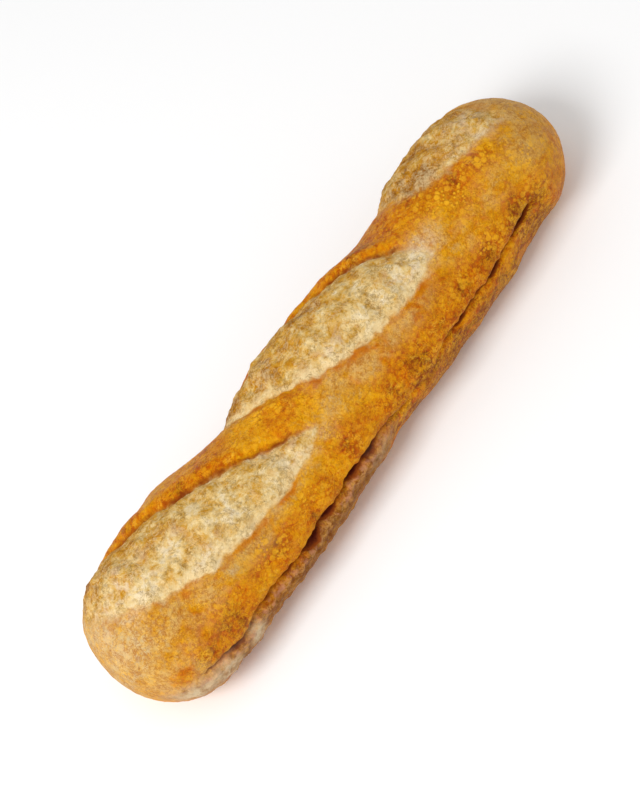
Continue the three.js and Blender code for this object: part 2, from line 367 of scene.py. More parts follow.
around = MM_PER_DEGREE * grid_angle
wobble = EDGE_WOBBLE * waves(grid_x, around, WOBBLE_LENGTH, WOBBLE_SHORTEN, WOBBLE_WAVES)
places = []
for slash in SLASHES:
    gap, side, from_end = place_in_slash(grid_x, grid_angle, slash)
    places.append((gap + wobble * ease(from_end / TIP_FADE), side, from_end))
nearest = np.argmax([place[0] for place in places], axis=0)
inside, side, from_end = (np.choose(nearest, [place[i] for place in places]) for i in range(3))
sharp = np.choose(nearest, [slash["sharp"] for slash in SLASHES])
below = MM_PER_DEGREE * (grid_angle - split_angle(grid_x))
tear_waves = waves(grid_x, 0, TEAR_LENGTH, TEAR_SHORTEN, TEAR_WAVES, turn=0)
below = below + TEAR_WOBBLE * tear_waves * bump(below, TEAR_REACH)
opened = split_open(grid_x)
lip = lower_lip(grid_x, below)

# %% Sharper creases and strands
SKIN = 0.25  # the fine surface starts this far inside the CAD's, to leave room for blisters
CREASE_DEPTH, CREASE_WIDTH = 0.7, 0.7
CLEFT_DEPTH, CLEFT_LEAST, CLEFT_GROWTH = 1.4, 0.15, 0.4  # deeper for each mm of a pocket
CLEFT_WIDTH, CLEFT_WIDENING, CLEFT_SINKING = 0.7, 0.35, 0.4  # wider and lower, likewise
THIN_AT, THIN_LENGTH, THIN_SHARE = -72, 13, 0.7  # where the torn edges lie nearly shut
STRAND_HEIGHT, STRAND_LENGTH, STRAND_SHORTEN, STRAND_WAVES, STRAND_PULL = 0.16, 6.5, 1.4, 4, 0.5

crisp = sharp * off_the_ends(grid_x, EDGE_FADE) * ease(from_end / TIP_FADE)
crease = bump(inside, CREASE_WIDTH) * (side < 0) * crisp
pocket = pocket_depth(grid_x)
thin_split = bump(grid_x - THIN_AT, THIN_LENGTH)
cleft = opened * bump(below - CLEFT_SINKING * pocket, CLEFT_WIDTH + CLEFT_WIDENING * pocket)
cleft = cleft * (CLEFT_LEAST + CLEFT_GROWTH * pocket)
cleft = cleft * (1 - THIN_SHARE * thin_split)
strands = waves(grid_x, STRAND_PULL * around, STRAND_LENGTH, STRAND_SHORTEN, STRAND_WAVES)
relief = dough_relief(grid_x, grid_angle) + slash_relief(places, grid_x, around)
relief = relief + split_relief(grid_x, below) - SKIN
relief = relief - CREASE_DEPTH * crease - CLEFT_DEPTH * cleft + STRAND_HEIGHT * lip * strands
points = crust_point(grid_x, grid_angle, relief)
print("relief from", relief.min().round(1), "to", relief.max().round(1), "mm")

# %% [markdown]
# ## Closing the mesh
#
# The rings become quads, each ring's last point joins its first, and a fan of triangles closes each
# tip. The winding is chosen so that faces point outwards. The base lies on the table at zero.

# %% Build the loaf's mesh
RINGS, COLUMNS = grid_x.shape
tips = crust_point(np.array([-HALF_LENGTH, HALF_LENGTH]), np.zeros(2), np.zeros(2))
vertices = np.concatenate([points.reshape(-1, 3), tips])
ring, column = np.meshgrid(np.arange(RINGS - 1), np.arange(COLUMNS), indexing="ij")
following = (column + 1) % COLUMNS
corners = [ring * COLUMNS + column, ring * COLUMNS + following]
quads = np.stack([corners[0], corners[1], corners[1] + COLUMNS, corners[0] + COLUMNS], axis=-1)
near_tip, far_tip, last = RINGS * COLUMNS, RINGS * COLUMNS + 1, (RINGS - 1) * COLUMNS
around_tip = np.arange(COLUMNS)
after = (around_tip + 1) % COLUMNS
near_fan = [(near_tip, int(b), int(a)) for a, b in zip(around_tip, after)]
far_fan = [(far_tip, int(last + a), int(last + b)) for a, b in zip(around_tip, after)]

loaf_mesh = bpy.data.meshes.new("baguette_loaf")
faces = quads.reshape(-1, 4).tolist() + near_fan + far_fan
loaf_mesh.from_pydata((vertices * MM).tolist(), [], faces)
loaf = bpy.data.objects.new("baguette_loaf", loaf_mesh)
bpy.context.scene.collection.objects.link(loaf)
print("vertices:", len(loaf_mesh.vertices), "faces:", len(loaf_mesh.polygons))

# %% [markdown]
# ## What the oven did where
#
# Colours on bread follow its form: pale dough in the slashes, gold on the bands between them, deep
# orange-brown towards the split, tan at the ends. We could paint a texture, but the loaf already
# knows where everything is. So each cause of colour becomes a number on every vertex, an attribute,
# that the material and the geometry nodes read by name. A real oven breaks its own rules, so soft
# round patches add a little to a number here and take a little there.

# %% Write an attribute
def write_attribute(name, values, low=0, high=1):
    """Stores one number for each point of the crust; the two tips copy a neighbour."""
    flat = np.clip(np.broadcast_to(values, grid_x.shape), low, high).ravel()
    flat = np.concatenate([flat, [flat[0], flat[-1]]]).astype(np.float32)
    loaf_mesh.attributes.new(name, "FLOAT", "POINT").data.foreach_set("value", flat)
    print(f"{name}: mean {flat.mean():.2f}")


# %% Distances, in mm, which the material makes ragged before it uses them
HAZY_TIP, HAZY_LENGTH = 56, 9  # station where the middle slash fades into the crust
# the split's dark band: its own colour and painted shade of the groove
DARK_BELOW, DARK_SINKING = 0.2, 0.35  # mm below the split, and lower for each mm of a pocket
DARK_WIDTH, DARK_WIDENING = 0.7, 0.4
DARK_LEAST, DARK_THIN, FULL_POCKET = 0.5, 0.6, 0.8
LIP_FROM, LIP_TO, LIP_RUN, LIP_HEIGHT = -132, 4, 10, 18

write_attribute("slash_depth", inside, low=-20, high=20)
write_attribute("split_side", side)
write_attribute("crisp", crisp)
hazy_tip = bump(grid_x - HAZY_TIP, HAZY_LENGTH)
write_attribute("soft_edge", 1 - (1 - hazy_tip) * sharp * off_the_ends(grid_x, EDGE_FADE))
write_attribute("split_below", below, low=-30, high=40)
# the split's darkness: its own darker torn dough under painted shade of the groove, wider and fuller in the
# pockets
dark = bump(below - DARK_BELOW - DARK_SINKING * pocket, DARK_WIDTH + DARK_WIDENING * pocket)
dark = opened * dark * (DARK_LEAST + (1 - DARK_LEAST) * ease(pocket / FULL_POCKET))
write_attribute("split_dark", dark * (1 - DARK_THIN * thin_split))
low_lip = lip * ease(1 - below / LIP_HEIGHT)
write_attribute("torn_lip", low_lip * fade_between(grid_x, LIP_FROM, LIP_TO, LIP_RUN))

# %% Soft patches
# All the columns meet at the tips, so what depends on the angle fades there.
TIP_SECTION = 0.6  # share of the full section by which it has its full say
away_from_tip = ease(end_scale(grid_x) / TIP_SECTION)


def add_patches(values, patches):
    """Adds soft patches, each as (station, angle, change, spread along in mm, spread round in degrees)."""
    for at, middle, change, along, spread in patches:
        here = bump(grid_x - at, along) * bump(half_turn(grid_angle - middle), spread)
        values = values + change * here * away_from_tip
    return values


print("share of the loaf where patches count in full:", (away_from_tip > 0.99).mean().round(2))

# %% Places that baked more or less than the rule says
BAKE_PATCHES = [
    (-8, 34, -0.2, 14, 12),
    (-40, 47, -0.14, 22, 7),
    (-70, 73, -0.2, 16, 6),
    (-24, 74, -0.16, 10, 6),
    (-70, 46, -0.34, 22, 8),
    (-101, 32, -0.2, 10, 12),
    (36, 44, 0.14, 10, 6),
    (62, 26, -0.12, 14, 14),
    (96, 46, -0.12, 16, 18),
    (112, 20, -0.1, 14, 40),
    (84, 8, 0.1, 16, 14),
    (-95, 70, 0.1, 26, 9),
    (-62, -18, 0.22, 15, 12),
    (-50, -28, 0.16, 9, 9),
    (42, -20, 0.2, 10, 16),
    (20, -24, 0.18, 18, 10),
    (12, 68, 0.12, 14, 10),
    (75, 68, 0.16, 22, 9),
    (28, -62, 0.15, 30, 14),
    (91, 60, 0.24, 10, 12),
    (93, 74, 0.16, 11, 7),
    (112, 30, 0.08, 16, 60),
    (66, -5, 0.1, 12, 18),
    (-118, 64, 0.22, 12, 20),
    (-101, 68, 0.1, 10, 10),
    (-118, 0, -0.22, 10, 30),
    (54, -38, 0.26, 12, 14),
    (20, 84, 0.14, 16, 8),
    (60, 103, 0.2, 36, 13),
    (-45, -50, 0.15, 14, 14),
]
print("patches of bake:", len(BAKE_PATCHES))

# %% How far each place is baked: 0 pale tan, 0.5 gold, 1 dark brown
BAKE, NEAR_PALE, FAR_PALE, END_RUN = 0.58, 0.42, 0.18, 36
SIDE_BAKE, SIDE_FROM, SIDE_RUN = 0.18, 30, 40  # degrees from the top
LIP_BAKE, BASE_PALE, BASE_RUN = 0.12, 0.1, 6
# the side below the split is darker: partly its real bake, partly painted shade of the underside
LOW_BAKE_AND_SHADE, LOW_FROM, LOW_RUN, LOW_TO, LOW_FADE = 0.16, 84, 14, 140, 30  # the side below the split

bake = BAKE - np.where(grid_x < 0, NEAR_PALE, FAR_PALE) * (1 - off_the_ends(grid_x, END_RUN))
at_side = ease((np.abs(grid_angle) - SIDE_FROM) / SIDE_RUN)
bake = bake + SIDE_BAKE * (0.5 + (at_side - 0.5) * away_from_tip)
bake = bake + LIP_BAKE * lip - BASE_PALE * (1 - ease(points[..., 2] / BASE_RUN))
# darker below the split: real bake and painted shade of the underside
low_bake_and_shade = LOW_BAKE_AND_SHADE * ease((grid_angle - LOW_FROM) / LOW_RUN) * ease((LOW_TO - grid_angle) / LOW_FADE)
bake = bake + low_bake_and_shade * away_from_tip
write_attribute("bake", add_patches(bake, BAKE_PATCHES))

# %% Places that are more or less toasted, matt and tan, white, or floury
TOAST_PATCHES = [
    (10, -25, 0.13, 16, 25),
    (-100, -40, 0.26, 16, 20),
    (-84, 2, 0.06, 12, 14),
    (-8, -16, 0.22, 20, 20),
    (-34, -48, 0.36, 12, 20),
    (76, -10, 0.3, 9, 10),
    (38, 18, -0.08, 12, 14),
    (-45, 38, -0.06, 14, 10),
    (102, -25, -0.14, 12, 30),
]
HAZE_PATCHES = [  # where the skin stayed matt and tan
    (56, 17, 1, 8, 9),
    (66, 46, 0.6, 9, 9),
    (90, 36, 0.6, 10, 12),
    (-2, 27, 0.9, 9, 9),
    (14, 42, 0.6, 12, 8),
    (34, 44, 0.8, 12, 8),
    (104, 0, 0.6, 18, 9),
    (-106, 34, 0.8, 15, 26),
    (-122, 20, 0.8, 9, 70),
    (-112, 80, 0.7, 9, 20),
    (108, 40, 0.7, 8, 30),
    (116, -10, 0.8, 8, 40),
    (78, 42, 0.5, 10, 8),
    (-24, 44, 0.9, 8, 8),
    (-62, 50, 0.9, 11, 9),
    (-86, 44, 0.8, 9, 9),
    (11, 38, 0.8, 9, 10),
    (59, 33, 0.8, 8, 8),
    (-101, 26, 1.0, 9, 11),
    (-122, 60, 0.5, 9, 20),
    (122, 30, 0.6, 8, 90),
    (112, -110, 0.8, 16, 40),
    (-112, -110, 0.8, 14, 40),
    (-56, -112, 0.7, 20, 16),
    (34, -118, 0.7, 24, 14),
    (6, -80, 0.5, 10, 14),
    (0, 38, 0.25, 80, 10),
]
WHITE_PATCHES = [  # where flour whitened the dough
    (-83, 4, 0.7, 7, 6),
    (-118, 4, 0.8, 8, 26),
    (-101, -10, 0.7, 9, 9),
    (106, -10, 0.6, 8, 10),
    (-80, 28, 0.9, 9, 6),
    (-102, 8, 1, 10, 9),
    (-30, 36, 0.7, 14, 8),
    (42, 24, 0.8, 14, 10),
    (57, 20, 0.7, 8, 10),
    (2, 14, 0.7, 12, 8),
]
FLOUR_PATCHES = [  # flour that the lower lip picked up
    (-88, 97, 1.4, 4, 9),
    (-104, 94, 1.4, 6, 9),
    (-117, 90, 1.1, 7, 12),
    (-10, 94, 0.5, 8, 8),
]
print("patches of toast and haze:", len(TOAST_PATCHES), len(HAZE_PATCHES))
print("patches of white and flour:", len(WHITE_PATCHES), len(FLOUR_PATCHES))

# %% How far the opened dough is toasted, and where haze and flour lie
TOAST, FAR_TOAST, FAR_FROM, FAR_RUN = 0.46, 0.2, 60, 12
BACK_TOAST, BACK_FROM, BACK_RUN = 0.16, 8, 50  # degrees from the top
TABLE_REACH = 3  # mm up from the table in which the crust stays as it lay
BASE_FLOUR, BASE_FLOUR_HEIGHT = 0.75, 2.5
TIP_HAZE = 0.8
RIM_WHITE, RIM_AT, RIM_REACH = 0.7, 1.5, 3  # mm inside the far slash's edge
RIM_FROM, RIM_TO, RIM_RUN = 76, 122, 20

free = ease(points[..., 2] / TABLE_REACH)
write_attribute("free", free)
toast = TOAST + FAR_TOAST * ease((grid_x - FAR_FROM) / FAR_RUN)
toast = toast + BACK_TOAST * ease((BACK_FROM - grid_angle) / BACK_RUN)
write_attribute("toast", add_patches(toast, TOAST_PATCHES))
base_flour = BASE_FLOUR * (1 - ease(points[..., 2] / BASE_FLOUR_HEIGHT))
write_attribute("flour", add_patches(base_flour, FLOUR_PATCHES))
write_attribute("hazed", add_patches(TIP_HAZE * (1 - away_from_tip), HAZE_PATCHES))
far_rim = RIM_WHITE * bump(inside - RIM_AT, RIM_REACH) * (side > 0)
far_rim = far_rim * fade_between(grid_x, RIM_FROM, RIM_TO, RIM_RUN)
write_attribute("whitened", add_patches(far_rim, WHITE_PATCHES))

# %% Where blisters, crags and pores may be
BLISTER_PATCHES = [
    (78, 6, 0.7, 20, 20),
    (-48, 55, 0.3, 26, 14),
    (-30, 0, 0.4, 16, 20),
    (70, 60, 0.2, 25, 14),
    (110, 45, 0.2, 14, 30),
]
PATCH_LENGTH, PATCH_SHORTEN, PATCH_WAVES = 23, 1.4, 4
PATCH_MIDDLE, PATCH_SWING = 0.4, 0.35
BLISTERS_OFF, BLISTERS_EVERYWHERE = 1.5, 0.25  # mm short of a slash where they stop
SMOOTH_LIP = 0.8  # share of the blisters that the torn lip lacks
BLISTERS_LEAST, PORES_LEAST = 0.35, 0.25  # share of them between the thick patches
DOUGH_FROM, DOUGH_RUN = -0.4, 0.9  # mm inside a slash's edge
PORES_FROM, PORES_RUN = 1, 3

patchy = ease(PATCH_MIDDLE + PATCH_SWING * waves(grid_x, around, PATCH_LENGTH, PATCH_SHORTEN, PATCH_WAVES))
crust_only = free * (1 - ease((inside + BLISTERS_OFF) / BLISTERS_OFF)) * (1 - SMOOTH_LIP * lip)
blistered = crust_only * add_patches(BLISTERS_EVERYWHERE, BLISTER_PATCHES)
write_attribute("blistered", blistered * (BLISTERS_LEAST + (1 - BLISTERS_LEAST) * patchy))
write_attribute("opened_dough", ease((inside - DOUGH_FROM) / DOUGH_RUN))
pored = free * ease((inside - PORES_FROM) / PORES_RUN)
write_attribute("pored", pored * (PORES_LEAST + (1 - PORES_LEAST) * patchy))

# %% [markdown]
# ## Helpers for node trees
#
# Geometry nodes and materials are both trees of nodes. Building them in code stays readable if one
# helper adds a node, sets it and joins its inputs, and a few more wrap the kinds used most.

# %% One helper for every node
MIX_FACTOR, MIX_A, MIX_B, MIX_RESULT = 0, 6, 7, 2  # a Mix node's colour sockets


def add(tree, kind, inputs=None, **settings):
    """Adds a node. Each input gets a plain value, or a link if it is another node's output."""
    made = tree.nodes.new(kind)
    for name, value in settings.items():
        setattr(made, name, value)
    for key, value in (inputs or {}).items():
        if isinstance(value, bpy.types.NodeSocket):
            tree.links.new(value, made.inputs[key])
        else:
            made.inputs[key].default_value = value
    return made


def calc(tree, operation, *values, clamp=False):
    """One step of arithmetic, on plain numbers or other nodes' outputs."""
    inputs = dict(enumerate(values))
    return add(tree, "ShaderNodeMath", inputs, operation=operation, use_clamp=clamp).outputs[0]


def step_between(tree, value, start, end, low=0.0, high=1.0):
    """A smooth step of value from low at start to high at end."""
    inputs = {"Value": value, 1: start, 2: end, 3: low, 4: high}
    return add(tree, "ShaderNodeMapRange", inputs, interpolation_type="SMOOTHSTEP").outputs[0]


def noise(tree, place, size_mm, detail=3.0, roughness=0.55, distortion=0.0):
    """Cloudy noise whose blobs are about size_mm across, from 0 to 1."""
    inputs = {"Vector": place, "Scale": 1 / (size_mm * MM), "Detail": detail}
    inputs |= {"Roughness": roughness, "Distortion": distortion}
    return add(tree, "ShaderNodeTexNoise", inputs).outputs[0]


# %% [markdown]
# ## Wrinkles, crags and strands with geometry nodes
#
# Real crust is never smooth at the millimetre. A bump map alone would leave a smooth outline and a
# smooth exported mesh, so a node tree moves the points themselves: fine wrinkles everywhere, deeper
# crags where dough or crust tore. Its sizes are named inputs, set by identifier on the modifier.

# %% Make a geometry node tree with named inputs
def new_geometry_tree(name, inputs):
    """An empty tree with a geometry in and out, a material, and the named inputs given."""
    tree = bpy.data.node_groups.new(name, "GeometryNodeTree")
    tree.interface.new_socket("Geometry", in_out="INPUT", socket_type="NodeSocketGeometry")
    for label, kind in [*inputs, ("Finish", "NodeSocketMaterial")]:
        tree.interface.new_socket(label, in_out="INPUT", socket_type=kind)
    tree.interface.new_socket("Geometry", in_out="OUTPUT", socket_type="NodeSocketGeometry")
    return tree, tree.nodes.new("NodeGroupInput"), tree.nodes.new("NodeGroupOutput")


def close_geometry_tree(tree, group_in, group_out, geometry):
    """Ends a tree the way the export needs: instances made real, and the material set."""
    real = add(tree, "GeometryNodeRealizeInstances", {"Geometry": geometry})
    inputs = {"Geometry": real.outputs[0], "Material": group_in.outputs["Finish"]}
    finished = add(tree, "GeometryNodeSetMaterial", inputs)
    tree.links.new(finished.outputs[0], group_out.inputs[0])


def attribute(tree, name):
    """The number stored on each point under a name, which may come from another node."""
    inputs = {"Name": name}
    return add(tree, "GeometryNodeInputNamedAttribute", inputs, data_type="FLOAT").outputs[0]


def push(tree, geometry, height):
    """Moves every point of the geometry along its normal by height, in metres."""
    normal = add(tree, "GeometryNodeInputNormal").outputs[0]
    offset = add(tree, "ShaderNodeVectorMath", {0: normal, "Scale": height}, operation="SCALE")
    inputs = {"Geometry": geometry, "Offset": offset.outputs[0]}
    return add(tree, "GeometryNodeSetPosition", inputs).outputs[0]


# %% The tree for wrinkled crust
ROUGH_DETAIL, ROUGH_SWIRL = 3.0, 0.6
SINK_BELOW = 0.55  # noise under this sinks the surface, and noise over it lifts it
ROUGH_KINDS = [("Wrinkle", None), ("Crag", "opened_dough"), ("Tear", "torn_lip")]  # and the places for each


def wrinkle_tree():
    """Fine wrinkles on the crust, crags on the opened dough, and torn strands on the lip."""
    labels = [f"{kind} {measure}" for kind, where in ROUGH_KINDS for measure in ("height", "size")]
    inputs = [(label, "NodeSocketFloat") for label in labels]
    tree, group_in, group_out = new_geometry_tree("crust wrinkles", inputs)
    given = group_in.outputs
    place = add(tree, "GeometryNodeInputPosition").outputs[0]
    height = 0.0
    for kind, where in ROUGH_KINDS:
        scale = calc(tree, "DIVIDE", 1.0, given[f"{kind} size"])
        inputs = {"Vector": place, "Scale": scale, "Detail": ROUGH_DETAIL, "Distortion": ROUGH_SWIRL}
        cloud = add(tree, "ShaderNodeTexNoise", inputs).outputs[0]
        rise = calc(tree, "MULTIPLY", calc(tree, "SUBTRACT", cloud, SINK_BELOW), given[f"{kind} height"])
        if where:
            rise = calc(tree, "MULTIPLY", rise, attribute(tree, where))
        height = calc(tree, "ADD", rise, height)
    height = calc(tree, "MULTIPLY", height, attribute(tree, "free"))
    close_geometry_tree(tree, group_in, group_out, push(tree, given["Geometry"], height))
    return tree


# %% [markdown]
# ## Blisters and pores with geometry nodes
#
# Steam raises hundreds of tiny blisters on the gold crust and leaves pores in the opened dough. One
# tree makes both. It scatters points on the surface with an even spacing and a fixed seed, lets each
# vertex find its nearest point, and lifts it into a dome, or sinks it if the height is negative. It
# also stores the dome's share of its height, so that the material can lighten blister tops, partly
# as painted highlight, and darken pores with painted shade.

# %% The tree for bubbles
MOST_CENTRES = 1e6  # a square metre, before the spacing thins them out
SMALLEST_BUBBLE = 0.4  # as a share of the largest


def value_at(tree, centres, nearest_centre, value, kind):
    """What a value is at each vertex's nearest centre."""
    inputs = {"Geometry": centres, "Value": value, "Index": nearest_centre}
    return add(tree, "GeometryNodeSampleIndex", inputs, data_type=kind).outputs[0]


def bubble_tree():
    labels = [("Spacing", "NodeSocketFloat"), ("Radius", "NodeSocketFloat"), ("Height", "NodeSocketFloat")]
    labels += [("Seed", "NodeSocketInt"), ("Where", "NodeSocketString"), ("Mark", "NodeSocketString")]
    tree, group_in, group_out = new_geometry_tree("crust bubbles", labels)
    given = group_in.outputs
    where = attribute(tree, given["Where"])
    inputs = {"Mesh": given["Geometry"], "Distance Min": given["Spacing"], "Density Max": MOST_CENTRES}
    inputs |= {"Density Factor": where, "Seed": given["Seed"]}
    scatter = add(tree, "GeometryNodeDistributePointsOnFaces", inputs, distribute_method="POISSON")
    centres = scatter.outputs[0]
    nearest_centre = add(tree, "GeometryNodeSampleNearest", {"Geometry": centres}).outputs[0]
    place = add(tree, "GeometryNodeInputPosition").outputs[0]
    centre = value_at(tree, centres, nearest_centre, place, "FLOAT_VECTOR")
    away = add(tree, "ShaderNodeVectorMath", {0: place, 1: centre}, operation="DISTANCE").outputs["Value"]
    inputs = {2: SMALLEST_BUBBLE, 3: 1.0, "Seed": given["Seed"]}  # 2 and 3 are the least and the most
    draw = add(tree, "FunctionNodeRandomValue", inputs, data_type="FLOAT").outputs[1]
    size = value_at(tree, centres, nearest_centre, draw, "FLOAT")
    reach = calc(tree, "MULTIPLY", given["Radius"], size)
    dome = step_between(tree, calc(tree, "DIVIDE", away, reach), 1.0, 0.0)
    dome = calc(tree, "MULTIPLY", dome, where)
    height = calc(tree, "MULTIPLY", calc(tree, "MULTIPLY", dome, size), given["Height"])
    moved = push(tree, given["Geometry"], height)
    inputs = {"Geometry": moved, "Name": given["Mark"], "Value": dome}
    marked = add(tree, "GeometryNodeStoreNamedAttribute", inputs, data_type="FLOAT", domain="POINT")
    close_geometry_tree(tree, group_in, group_out, marked.outputs[0])
    return tree


# %% [markdown]
# ## The baked crust
#
# One material covers the whole loaf, because it is one skin that only changes by degrees. It reads
# the attributes for where things are and noise on Object coordinates for what is too fine for the
# mesh. A colour ramp turns the bake into the browning of real crust; the opened dough has a ramp of
# its own, from floury cream to toasted gold. Both are matt, the gold bands a little less so.

# %% Colours, as they look, turned into the linear values that shaders use
def linear(red, green, blue):
    """A colour seen on screen, 0 to 255, as a linear RGBA value."""
    channels = [value / 255 for value in (red, green, blue)]  # and then the screen's own curve, undone
    return (*[c / 12.92 if c <= 0.04045 else ((c + 0.055) / 1.055) ** 2.4 for c in channels], 1.0)


CRUST_COLOURS = [  # for each degree of bake
    (0.05, linear(206, 178, 128)),
    (0.26, linear(200, 153, 80)),
    (0.46, linear(216, 146, 4)),
    (0.64, linear(205, 115, 0)),
    (0.80, linear(184, 80, 0)),
    (1.00, linear(122, 48, 4)),
]
DOUGH_COLOURS = [  # for each degree of toast
    (0.10, linear(238, 220, 184)),
    (0.38, linear(224, 190, 122)),
    (0.58, linear(208, 156, 58)),
    (0.78, linear(192, 130, 26)),
    (1.00, linear(150, 92, 20)),
]
LIGHT_STROKE = linear(242, 176, 8)
FLECK = linear(250, 194, 66)
DARK_STROKE = linear(156, 80, 4)
CURL_SHADE = linear(164, 88, 8)
FIBRE = linear(244, 222, 170)
WRINKLE_SHADE = linear(132, 92, 30)
# blister tops: their own paler crust, lightened further as painted highlight
BLISTER_TOP_AND_HIGHLIGHT = linear(242, 176, 34)
# painted shade in the hollows of the pores
PORE_SHADE = linear(104, 76, 26)
TAN = linear(212, 171, 100)
WHITE_FLOUR = linear(240, 226, 200)
# the pale rim: partly the dough's own pale edge, partly painted highlight on the raised edge
PALE_RIM_AND_HIGHLIGHT = linear(238, 210, 156)
EDGE_BROWN = linear(192, 100, 2)
# painted shadow in the fold that each ear overhangs
PAINTED_EAR_SHADOW = linear(130, 54, 8)
# the split's own dark dough, darkened further with painted shade of the groove
SPLIT_BROWN_AND_SHADE = linear(134, 62, 16)
SPLIT_DARK_AND_SHADE = linear(88, 26, 18)
ROSY = linear(192, 132, 102)
LIP_TAN = linear(198, 144, 80)
LIP_BROWN = linear(120, 68, 22)
FLOUR = linear(222, 200, 162)
print("steps of crust and of dough colour:", len(CRUST_COLOURS), len(DOUGH_COLOURS))


# %% Material helpers
def ramp(tree, value, stops):
    """A colour for a value, blended between stops of (position, colour)."""
    made = add(tree, "ShaderNodeValToRGB", {0: value})
    elements = made.color_ramp.elements
    elements[0].position, elements[0].color = stops[0]
    elements[1].position, elements[1].color = stops[-1]
    for position, colour in stops[1:-1]:
        elements.new(position).color = colour
    return made.outputs[0]


def tint(tree, colour, over, *amounts):
    """Lays a colour over another, by the product of the amounts, each from 0 to 1."""
    amount = amounts[0]
    for factor in amounts[1:]:
        amount = calc(tree, "MULTIPLY", amount, factor)
    inputs = {MIX_FACTOR: amount, MIX_A: colour, MIX_B: over}
    return add(tree, "ShaderNodeMix", inputs, data_type="RGBA").outputs[MIX_RESULT]


def stored(tree, name):
    """A number that the mesh carries under this name."""
    return add(tree, "ShaderNodeAttribute", attribute_name=name).outputs["Fac"]


NOISE_MIDDLE = 0.5  # the value that noise swings about


def swing(tree, place, size_mm, amount, **settings):
    """Noise as a change to either side of nothing, by half the amount at most."""
    centred = calc(tree, "SUBTRACT", noise(tree, place, size_mm, **settings), NOISE_MIDDLE)
    return calc(tree, "MULTIPLY", centred, amount)


def clouds(tree, place, size_mm, start, end, low=0.0, high=1.0, **settings):
    """Cloudy patches: noise turned into low up to the value start, and into high from end on."""
    return step_between(tree, noise(tree, place, size_mm, **settings), start, end, low, high)


def add_up(tree, *values):
    total = values[0]
    for value in values[1:]:
        total = calc(tree, "ADD", total, value)
    return total


def near_to(tree, value, middle, spread):
    """1 where the value is at the middle, down to 0 a spread away from it."""
    gap = calc(tree, "ABSOLUTE", calc(tree, "SUBTRACT", value, middle))
    return step_between(tree, gap, spread, 0.0)


# %% Curling strokes and blister spots
STROKE_SWIRL = 1.1
GAP_SIZE, GAP_FROM, GAP_TO = 1.7, 0.62, 0.72  # the breaks in the lines, to their size
SPOT_CORE = 0.6  # share of a spot's reach that is fully coloured


def strokes(tree, place, size_mm, width, share):
    """Curling lines: the level lines of a swirled noise, broken up by another noise."""
    swirled = noise(tree, place, size_mm, detail=3, distortion=STROKE_SWIRL)
    lines = near_to(tree, swirled, NOISE_MIDDLE, width)
    gaps = clouds(tree, place, GAP_SIZE * size_mm, GAP_FROM - share, GAP_TO - share, detail=2)
    return calc(tree, "MULTIPLY", lines, gaps)


def add_strokes(tree, place, colour, layers):
    """Lays curling lines over a colour, each layer as (colour, size in mm, width, share, strengths)."""
    for over, size_mm, width, share, strengths in layers:
        colour = tint(tree, colour, over, strokes(tree, place, size_mm, width, share), *strengths)
    return colour


def spots(tree, place, size_mm, reach):
    """Round spots of uneven size, where the surface passes near the centre of a cell."""
    cells = add(tree, "ShaderNodeTexVoronoi", {"Vector": place, "Scale": 1 / (size_mm * MM)})
    return step_between(tree, cells.outputs["Distance"], reach, SPOT_CORE * reach)


def blister_spots(tree, place):
    large = spots(tree, place, size_mm=3.2, reach=0.42)
    small = spots(tree, place, size_mm=1.7, reach=0.4)
    return calc(tree, "MAXIMUM", large, small)


# %% [markdown]
# ## Gold and brown crust
#
# Baked crust is never one brown. Its bake swings by the centimetre, by the millimetre and in specks,
# a matt haze leaves it tan in places, and fine curling lines of light and shade cross it all. A
# picture wrapped round the loaf could show this, but it would smear on the sides. So noise of three
# sizes moves the bake along its ramp, and level lines of a swirled noise draw the curls.

# %% The crust's own colour
HAZE_STRENGTH, WHITE_ON_CRUST = 0.85, 0.35
SHADE_STRENGTH, SHADE_IN_HAZE = 0.4, 0.15  # of the curled shades, and how much haze adds
HAZE_OVER_GOLD = 0.8  # share of the golden strokes that haze hides
RAISED_TOP, PAINTED_TOP, PAINTED_BOOST = 0.35, 0.9, 1.5  # strengths of the blister tops
EDGE_AT, EDGE_REACH, EDGE_STRENGTH = -1.2, 2.6, 0.8  # mm inside the slash, so just outside it


